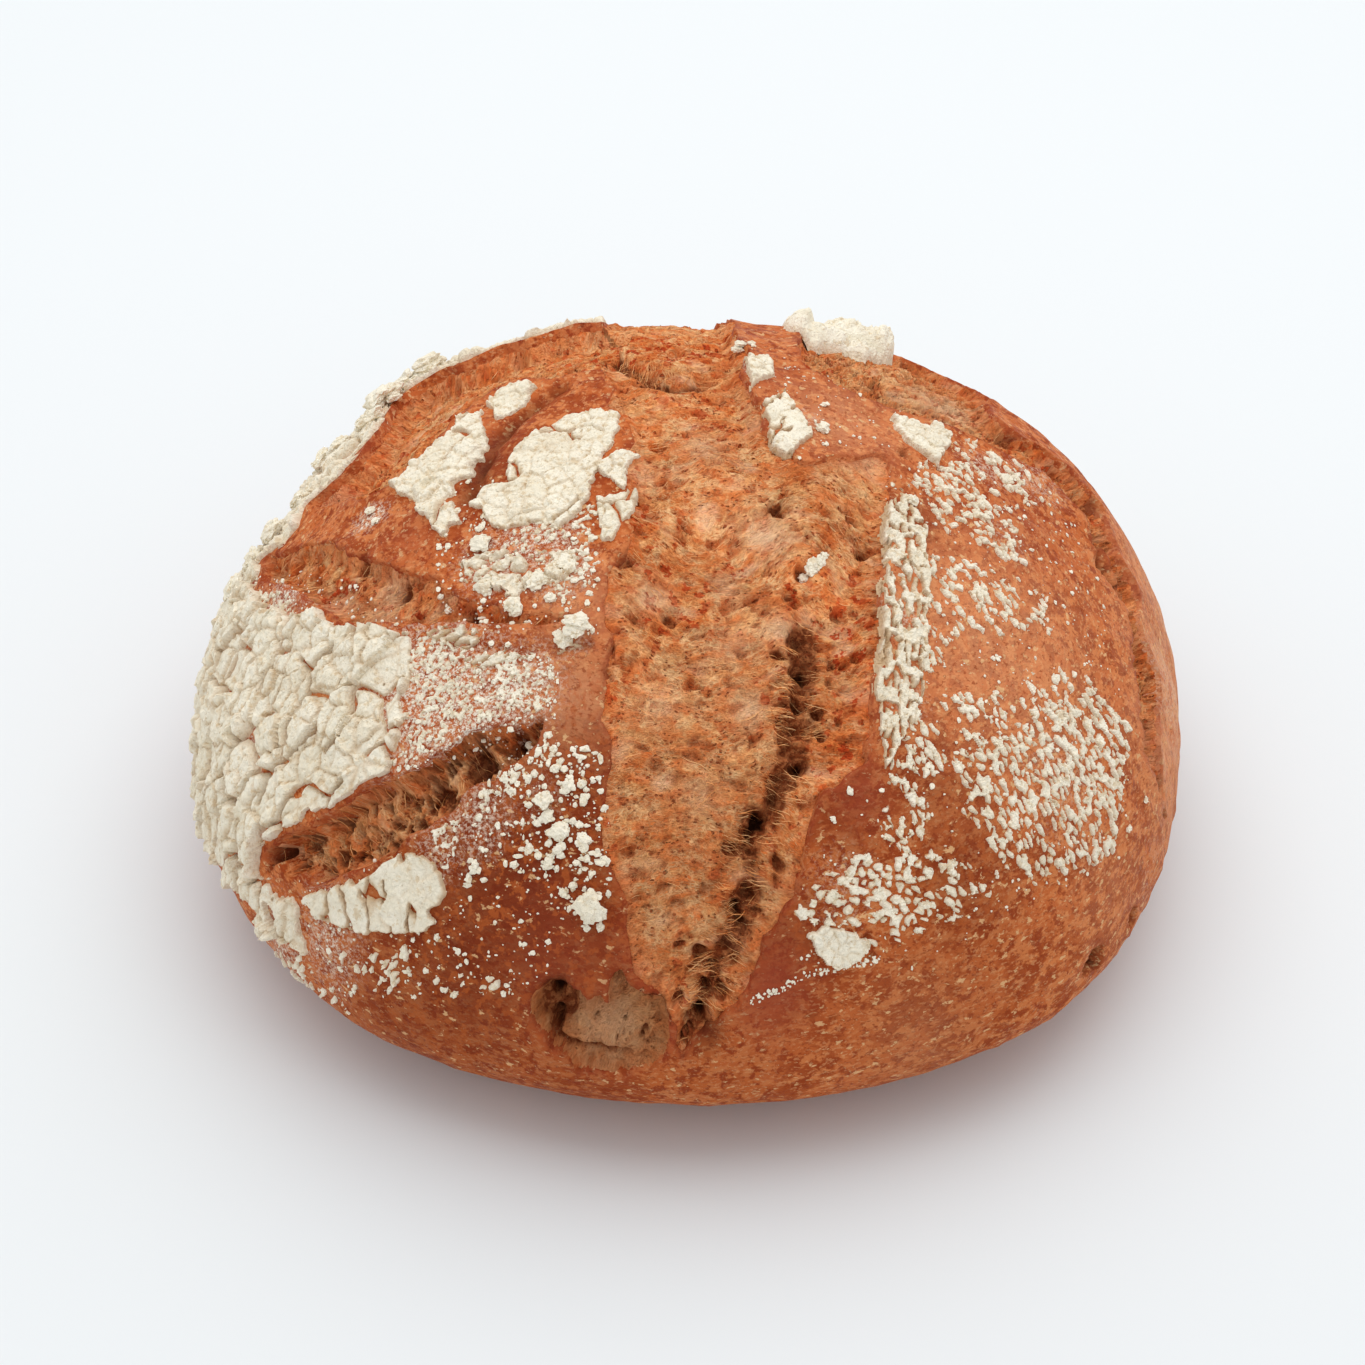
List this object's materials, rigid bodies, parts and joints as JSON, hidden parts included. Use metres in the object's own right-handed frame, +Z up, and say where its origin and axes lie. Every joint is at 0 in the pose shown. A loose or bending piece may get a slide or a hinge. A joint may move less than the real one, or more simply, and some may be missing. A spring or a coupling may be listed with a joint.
{
  "type": "country loaf",
  "caption": "Round, crusty country loaf with a flat base, a torn open crown, a slash and dried flour caked on its crust.",
  "frame": {"origin": "on the flat base, under the middle of the loaf", "axes": "+Z up through the crown, +X to the loaf's right, -Y to its front, where the main tear runs down"},
  "size_m": [0.2383, 0.2411, 0.1238],
  "materials": {
    "crust": "dry, rough, browned bread crust"
  },
  "bodies": {
    "root": {"loaf": "crust"}
  },
  "joints": []
}
